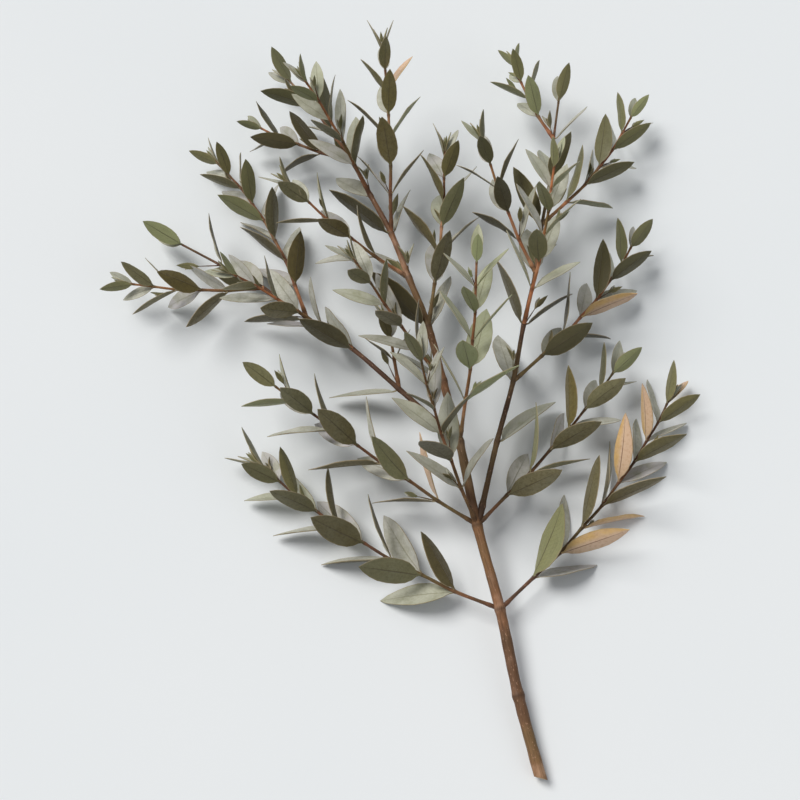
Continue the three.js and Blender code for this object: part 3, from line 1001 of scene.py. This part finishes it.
@dataclass
class StemSkin:
    """The bark of one stem: tapered, swollen at its joints and closed by a bud."""

    stem: GrownStem
    name: str
    finish: bpy.types.Material
    spacing: float = 1.0
    roundness: int = 3
    swelling: float = 0.2
    swelling_length: float = 1.5
    cut_end: bool = False
    rooted_at: Vector | None = None
    flare: float = 0.35
    flare_length: float = 3.0

    def build(self) -> bpy.types.Object:
        """Draw the stem's line, give it its girth and dress it.

        Returns:
            The finished stem.
        """
        line, count = self.centre_line()
        girth = self.girth(line, count)
        bpy.ops.object.select_all(action="DESELECT")
        bpy.ops.curve.primitive_nurbs_path_add(location=(0, 0, 0))
        drawn = bpy.context.object
        drawn.data.splines.clear()
        spline = drawn.data.splines.new("POLY")
        spline.points.add(len(line) - 1)
        spline.points.foreach_set("co", np.hstack([line * MM, np.ones((len(line), 1))]).astype(np.float32).ravel())
        spline.points.foreach_set("radius", girth.astype(np.float32))
        drawn.data.dimensions = "3D"
        drawn.data.bevel_depth = MM
        drawn.data.bevel_resolution = self.roundness
        drawn.data.use_fill_caps = True
        only(drawn)
        bpy.ops.object.convert(target="MESH")
        stem = bpy.context.object
        stem.name = self.name
        stem.data.name = self.name
        bpy.ops.object.mode_set(mode="EDIT")
        bpy.ops.mesh.select_all(action="SELECT")
        bpy.ops.mesh.remove_doubles(threshold=1e-6)
        bpy.ops.object.mode_set(mode="OBJECT")
        self.store_grain(stem.data, line)
        give_value(stem.data, "cut", 0.0, "FACE")
        if self.cut_end:
            self.cut(stem, line)
        bpy.ops.object.mode_set(mode="OBJECT")
        only(stem)
        bpy.ops.object.shade_smooth_by_angle(angle=math.radians(40))
        give_value(stem.data, "hue", self.hue())
        stem.data.materials.clear()
        stem.data.materials.append(self.finish)
        return stem

    def hue(self) -> float:
        """Return how orange the bark is, from 0 for nearly black to 1."""
        if self.cut_end:
            return 0.55 + 0.1 * wobble(self.stem.number)
        return 0.46 + 0.52 * wobble(self.stem.number * 3.3 + 1.7)

    def centre_line(self) -> tuple[np.ndarray, np.ndarray]:
        """Return the line through the stem's joints and bud, and each point's place in joints."""
        joints = [np.array(joint) for joint in self.stem.joints]
        last = len(joints) - 1
        bud = joints[-1] + np.array(self.stem.way_at(last)) * BUD_LENGTH
        line, count = smooth_line(np.array([*joints, bud]), self.spacing)
        if self.rooted_at is not None:
            line = np.vstack([np.array(self.rooted_at), line])
            count = np.concatenate([[0.0], count])
        return line, count

    def girth(self, line: np.ndarray, count: np.ndarray) -> np.ndarray:
        """Return the radius at each point of the line, in millimetres."""
        last = self.stem.plan.bare + self.stem.plan.pairs
        taper = np.array([self.stem.radius_at(min(c, last)) for c in count])
        swell = np.zeros(len(line))
        for joint in self.stem.joints[1:]:
            away = np.linalg.norm(line - np.array(joint), axis=1)
            swell += np.exp(-(away / self.swelling_length) ** 2)
        flare = 0.0
        if self.rooted_at is not None:
            from_start = np.linalg.norm(line - np.array(self.stem.joints[0]), axis=1)
            flare = np.where(count > 0, self.flare * np.exp(-(from_start / self.flare_length) ** 2), 0.2)
        ripple = 1 + flare + 0.025 * np.sin(count * 9.1) + 0.02 * np.sin(count * 23.7 + 1.3)
        bud = np.clip(count - last, 0, 1)
        return taper * (1 + self.swelling * np.minimum(swell, 1)) * ripple * (1 - 0.75 * bud ** 1.5)

    def store_grain(self, mesh: bpy.types.Mesh, line: np.ndarray) -> None:
        """Store on each point where it is round and along the stem, and how near it is to a joint."""
        places = places_of(mesh) / MM
        near = np.argmin(((places[:, None, :] - line[None, :, :]) ** 2).sum(axis=2), axis=1)
        way = np.gradient(line, axis=0)
        across = np.stack([way[:, 1], -way[:, 0], np.zeros(len(way))], axis=1)
        across /= np.linalg.norm(across, axis=1, keepdims=True)
        way /= np.linalg.norm(way, axis=1, keepdims=True)
        up = np.cross(across, way)
        walked = np.concatenate([[0], np.cumsum(np.linalg.norm(np.diff(line, axis=0), axis=1))])
        out = places - line[near]
        spots = np.stack([(out * across[near]).sum(1), (out * up[near]).sum(1), walked[near]], axis=1) * MM
        give_vectors(mesh, "grain", spots)
        joints = np.array([np.array(joint) for joint in self.stem.joints])
        away = np.linalg.norm(line[:, None, :] - joints[None, :, :], axis=2).min(axis=1)
        give_value(mesh, "node_shade", np.exp(-(away[near] / 1.1) ** 2))

    def cut(self, stem: bpy.types.Object, line: np.ndarray) -> None:
        """Cut the stem's lower end off at a slant, and mark the pale wood of the cut."""
        way = Vector(line[6] - line[0]).normalized()
        across = way.cross(UP).normalized()
        slant = (way + across * 0.55).normalized()
        only(stem)
        bpy.ops.object.mode_set(mode="EDIT")
        bpy.ops.mesh.select_all(action="SELECT")
        bpy.ops.mesh.bisect(plane_co=Vector(line[0]) * MM + way * 0.0025, plane_no=slant, use_fill=True,
                            clear_inner=True)
        bpy.ops.object.mode_set(mode="OBJECT")
        for face in stem.data.polygons:
            face.select = abs(face.normal.dot(slant)) > 0.97 and len(face.vertices) > 5
        bpy.ops.object.mode_set(mode="EDIT")
        bpy.ops.mesh.select_mode(type="FACE")
        bpy.ops.mesh.inset(thickness=0.00035, depth=0)
        bpy.ops.object.mode_set(mode="OBJECT")
        chosen = np.array([face.select for face in stem.data.polygons], float)
        give_value(stem.data, "cut", chosen, "FACE")


# ---- sub-assemblies ----


def turned_round(way: Vector, degrees: float) -> Vector:
    """Return the direction square to a stem at this many degrees round it."""
    across = way.cross(UP).normalized()
    up = across.cross(way)
    turn = math.radians(degrees)
    return across * math.cos(turn) + up * math.sin(turn)


def leaflet_place(root: Vector, way: Vector, degrees: float, spread: float, length: float, seed: int) -> LeafPlace:
    """Place one small leaf at a stem's tip or on a sprout.

    Args:
        root: where its stalk starts, in millimetres.
        way: the way that its stem or sprout runs.
        degrees: where it stands round it.
        spread: the angle between it and the stem, in degrees.
        length: its length.
        seed: its own number.

    Returns:
        The leaf's place.
    """
    outward = turned_round(way, degrees)
    lean = math.radians(spread)
    along = (way * math.cos(lean) + outward * math.sin(lean)).normalized()
    face = (way - along * way.dot(along)).normalized()
    if face.length < 0.5:
        face = -outward
    return LeafPlace(0, 1, seed, root, root + outward * 0.2, length, turned_to(along, face))


# Each ring of small leaves: how far on it stands, how wide it opens in degrees, and its leaves' share of a length.
TIP_RINGS = ((2.2, 17, 0.36), (3.9, 9, 0.22))
SPROUT_RINGS = ((1.0, 19, 1.0), (1.06, 8, 0.6))


@dataclass
class StemTip:
    """The half-open end of a stem: pairs of ever smaller leaves round a closed bud."""

    stem: GrownStem
    leaflet: LeafPattern
    season: Season = Season()

    def build(self) -> list[bpy.types.Object]:
        """Make the tip's small leaves.

        Returns:
            The leaves, still separate.
        """
        plan = self.stem.plan
        last = len(self.stem.joints) - 1
        way = self.stem.way_at(last)
        size = LEAF_LENGTH * plan.grade
        turn = plan.phase + QUARTER * plan.pairs
        leaves = []
        for ring, (ahead, spread, share) in enumerate(TIP_RINGS):
            root = self.stem.joints[last] + way * ahead
            for side in (0, 1):
                seed = 31 * self.stem.number + 900 + 2 * ring + side
                degrees = turn + QUARTER * (ring + 1 + 2 * side) + 10 * wobble(seed)
                place = leaflet_place(root, way, degrees, spread + 4 * wobble(seed * 1.3), size * share, seed)
                shape = LeafShape(fold=26, arch=0.01, tone=0.3, fresh=min(0.95, 0.3 + self.season.freshness),
                                  width=0.9)
                leaves.append(self.leaflet.copied(f"tip_{seed}", place, shape))
        return leaves


@dataclass
class Kit:
    """The patterns that leaves, leaflets and sprouts' stalks are copied from."""

    blade: LeafPattern
    leaflet: LeafPattern
    stalk: "StalkPattern"


@dataclass
class Sprouts:
    """Small sprouts in the axils of a stem's leaves: a slender stalk with two half-closed pairs of leaflets."""

    stem: GrownStem
    kit: Kit
    liking: float = 0.0
    reach: float = 1.0
    season: Season = Season()

    def build(self) -> list[bpy.types.Object]:
        """Make the sprouts.

        Returns:
            Their stalks and leaves, still separate.
        """
        parts = []
        for pair in range(self.stem.plan.pairs - 1):
            for side in (1, -1):
                seed = 57 * self.stem.number + 4 * pair + side + 300
                if wobble(seed * 2.77) > self.liking:
                    parts += self.sprout(pair, side, seed)
        return parts

    def sprout(self, pair: int, side: int, seed: int) -> list[bpy.types.Object]:
        """Make one sprout.

        Args:
            pair: the pair of leaves that it grows above.
            side: which leaf's axil it is in.
            seed: its own number.

        Returns:
            Its stalk and its leaflets.
        """
        plan = self.stem.plan
        number = plan.bare + pair + 1
        way = self.stem.way_at(number)
        degrees = plan.phase + QUARTER * (pair + 1 - side)
        lean = math.radians(25 + 5 * wobble(seed * 1.1))
        outward = turned_round(way, degrees)
        runs = (way * math.cos(lean) + outward * math.sin(lean)).normalized()
        start = self.stem.joints[number] + way * 0.6 + outward * self.stem.radius_at(number) * 0.5
        size = (0.6 + 0.4 * plan.grade) * self.reach
        length = (9.5 + 4.5 * wobble(seed * 3.1)) * size
        if start.z + (length + 8) * runs.z < 1.5:
            runs = Vector((runs.x, runs.y, abs(runs.z) * 0.2)).normalized()
        parts = [self.kit.stalk.copied(f"stalk_{seed}", start, runs, length, 0.36)]
        leaf_length = (10.5 + 2.5 * wobble(seed * 1.7)) * size
        fresh = min(0.95, 0.14 + 0.14 * wobble(seed) + self.season.freshness)
        for ring, (along, spread, share) in enumerate(SPROUT_RINGS):
            for turn in (0, 180):
                leaf_seed = seed + 3 * ring + turn // 90
                root = start + runs * length * along
                round_stalk = degrees + 90 + 90 * ring + turn + 12 * wobble(leaf_seed)
                place = leaflet_place(root, runs, round_stalk, spread, leaf_length * share, leaf_seed)
                shape = LeafShape(fold=20, arch=0.02 if ring else 0.09, width=1.0, deep=0.35, fresh=fresh,
                                  tone=0.35 + 0.3 * wobble(leaf_seed * 2.3), torsion=10 * wobble(leaf_seed * 1.9))
                parts.append(self.kit.leaflet.copied(f"leaflet_{seed}_{ring}_{turn}", place, shape))
        return parts


@dataclass
class Dresser:
    """Holds the finishes, and gives finished pieces their place in the model and a line in the log."""

    finishes: Finishes

    def leafy(self, piece: bpy.types.Object, node: str, slot: str) -> None:
        """Finish a piece made of leaves.

        Args:
            piece: the joined leaves.
            node: the solid that they stand for.
            slot: the material slot of that solid; not used.
        """
        only(piece)
        bpy.ops.object.shade_smooth_by_angle(angle=math.radians(52))
        self.settle(piece, node, slot)

    def settle(self, piece: bpy.types.Object, node: str, slot: str) -> None:
        """Let a piece ride on the branch in place of a solid, and log how far it passes that solid's box."""
        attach(piece, "root")
        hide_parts(node)
        places = places_of(piece.data)
        low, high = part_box(node)
        over = max(max(low[k] - places[:, k].min(), places[:, k].max() - high[k]) for k in range(3))
        LOG.info("%s: %d faces, %.1f mm past its solid's box", piece.name, len(piece.data.polygons), over / MM)


@dataclass
class WoodyStem:
    """One of the three woody stems, with its separate leaves, its tip and its sprouts."""

    stem: GrownStem
    growth: Growth
    kit: "Kit"
    dresser: Dresser

    def build(self) -> None:
        """Make and dress every piece of the stem."""
        plan = self.stem.plan
        parent = self.growth.stems.get(plan.parent)
        skin = StemSkin(
            self.stem, f"{plan.name}_bark", self.dresser.finishes.bark, spacing=1.0, roundness=4,
            swelling=0.17, swelling_length=2.0, cut_end=parent is None,
            rooted_at=parent.joints[plan.joint] if parent else None,
        )
        self.dresser.settle(skin.build(), plan.name, "bark")
        for place in self.stem.leaves():
            letter = "a" if place.side > 0 else "b"
            node = f"{plan.name}_leaf_{place.pair + 1}{letter}"
            shape = LeafShape.grown(place.seed, place.pair / (plan.pairs - 1), Season())
            self.dresser.leafy(self.kit.blade.copied(f"{node}_blade", place, shape), node, "leaf")
        small = StemTip(self.stem, self.kit.leaflet).build() + Sprouts(self.stem, self.kit).build()
        self.dresser.leafy(joined(f"{plan.name}_sprouts", small), plan.name, "leaf")


@dataclass
class LeafyShoot:
    """A side shoot: its thin twig, and its leaves, tip and sprouts as one piece."""

    stem: GrownStem
    growth: Growth
    kit: "Kit"
    dresser: Dresser

    def build(self) -> None:
        """Make and dress the shoot's two pieces."""
        plan = self.stem.plan
        root = self.growth.stems[plan.parent].joints[plan.joint]
        twig = StemSkin(self.stem, f"{plan.name}_twig", self.dresser.finishes.young_bark, spacing=1.1, roundness=2,
                        swelling=0.28, swelling_length=1.1, rooted_at=root)
        self.dresser.settle(twig.build(), plan.name, "leafy_shoot")
        season = SEASONS.get(plan.name, Season())
        leaves = []
        for place in self.stem.leaves():
            shape = LeafShape.grown(place.seed, place.pair / (plan.pairs - 1), season)
            leaves.append(self.kit.blade.copied(f"blade_{place.seed}", place, shape))
        leaves += StemTip(self.stem, self.kit.leaflet, season).build()
        leaves += Sprouts(self.stem, self.kit, liking=0.5, reach=0.75, season=season).build()
        self.dresser.leafy(joined(f"{plan.name}_foliage", leaves), plan.name, "leafy_shoot")


# ---- studio ----


@dataclass
class Studio:
    """A pale floor, soft light and a camera that looks down on the branch."""

    lens: float = 85.0
    elevation: float = 72.0
    filled: float = 0.95
    ambient: float = 0.33
    main_light: float = 2.6
    fill: float = 0.25

    def build(self) -> None:
        """Make the floor, the lights and the camera."""
        self.floor()
        self.world()
        self.lights()
        self.camera()
        scene = bpy.context.scene
        scene.view_settings.view_transform = "Standard"
        scene.view_settings.look = "None"

    def floor(self) -> None:
        """Lay a wide, faintly mottled pale floor."""
        bpy.ops.object.select_all(action="DESELECT")
        bpy.ops.mesh.primitive_plane_add(size=60, location=(0, 0, 0))
        floor = bpy.context.object
        floor.name = "floor"
        sheet = NodeSheet("pale_floor")
        cloud = sheet.noise(sheet.object_place(), 3.0, 2)
        sheet.feed(sheet.shader.inputs["Base Color"], sheet.mix(cloud, paint(226, 232, 236), paint(234, 237, 239)))
        sheet.shader.inputs["Roughness"].default_value = 0.85
        sheet.shader.inputs["Specular IOR Level"].default_value = 0.2
        floor.data.materials.append(sheet.material)
        floor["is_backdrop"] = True

    def world(self) -> None:
        """Surround the branch with soft light, and show a pale backdrop past the floor."""
        world = bpy.data.worlds.new("soft_daylight")
        world.use_nodes = True
        nodes, links = world.node_tree.nodes, world.node_tree.links
        light = nodes["Background"]
        light.inputs["Color"].default_value = paint(246, 247, 250)
        light.inputs["Strength"].default_value = self.ambient
        shown = nodes.new("ShaderNodeBackground")
        shown.inputs["Color"].default_value = paint(232, 236, 239)
        shown.inputs["Strength"].default_value = 1.0
        rays = nodes.new("ShaderNodeLightPath")
        either = nodes.new("ShaderNodeMixShader")
        links.new(rays.outputs["Is Camera Ray"], either.inputs["Fac"])
        links.new(light.outputs[0], either.inputs[1])
        links.new(shown.outputs[0], either.inputs[2])
        links.new(either.outputs[0], nodes["World Output"].inputs["Surface"])
        bpy.context.scene.world = world

    def lights(self) -> None:
        """Hang a broad main light, up and to the left, and a weaker one across from it."""
        for name, place, softness, strength, colour in (
            ("window_light", (-1.0, 0.75, 1.6), 32.0, self.main_light, (1.0, 0.975, 0.94)),
            ("fill_light", (1.3, -0.8, 1.0), 40.0, self.fill, (0.94, 0.97, 1.0)),
        ):
            data = bpy.data.lights.new(name, "SUN")
            data.angle = math.radians(softness)
            data.energy = strength
            data.color = colour
            lamp = bpy.data.objects.new(name, data)
            bpy.context.scene.collection.objects.link(lamp)
            lamp.location = place
            lamp.rotation_euler = (-Vector(place)).to_track_quat("-Z", "Y").to_euler()

    def camera(self) -> None:
        """Stand the camera so that the branch fills the view."""
        data = bpy.data.cameras.new("camera")
        data.lens = self.lens
        camera = bpy.data.objects.new("camera", data)
        bpy.context.scene.collection.objects.link(camera)
        low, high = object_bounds()
        centre = (low + high) / 2
        lift = math.radians(self.elevation)
        back = Vector((0, -math.cos(lift), math.sin(lift)))
        half_view = data.sensor_width / 2 / data.lens
        camera.rotation_euler = (-back).to_track_quat("-Z", "Y").to_euler()
        across = Vector((1, 0, 0))
        upward = back.cross(across)
        points = np.vstack([places_of(piece.data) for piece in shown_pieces()]) - np.array(centre)
        right, high_up, near = (points @ np.array(v) for v in (across, upward, back))
        middle = np.array([(right.min() + right.max()) / 2, (high_up.min() + high_up.max()) / 2])
        for _ in range(4):
            reach = np.maximum(abs(right - middle[0]), abs(high_up - middle[1]))
            away = float((reach / (half_view * self.filled) + near).max())
            seen_right = (right - middle[0]) / (away - near)
            seen_up = (high_up - middle[1]) / (away - near)
            middle += np.array([seen_right.min() + seen_right.max(), seen_up.min() + seen_up.max()]) * away / 2
        centre = centre + across * float(middle[0]) + upward * float(middle[1])
        camera.location = centre + back * away
        data.clip_start = 0.01
        data.clip_end = 50
        bpy.context.scene.camera = camera


def write_sizes() -> None:
    """Bring the view layer up to date."""
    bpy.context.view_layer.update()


def main() -> None:
    """Grow the branch, make every piece in order and set up the studio."""
    logging.basicConfig(level=logging.INFO, format="%(message)s")
    growth = Growth.whole()
    dresser = Dresser(Finishes.made())
    blade = LeafPattern("leaf_pattern", BLADE_ROWS, finish=dresser.finishes.leaf)
    leaflet = LeafPattern("leaflet_pattern", LEAFLET_ROWS, across=2, stalk=0.12, thickness=0.016,
                          finish=dresser.finishes.leaf)
    stalk = StalkPattern("stalk_pattern", finish=dresser.finishes.young_bark)
    for pattern in (blade, leaflet, stalk):
        pattern.build()
    kit = Kit(blade, leaflet, stalk)
    for plan in WOODY_PLANS:
        WoodyStem(growth.stems[plan.name], growth, kit, dresser).build()
    for plan in SHOOT_PLANS:
        LeafyShoot(growth.stems[plan.name], growth, kit, dresser).build()
    for pattern in (blade, leaflet, stalk):
        bpy.data.meshes.remove(pattern.mesh)
    Studio().build()
    write_sizes()


if __name__ == "__main__":
    main()
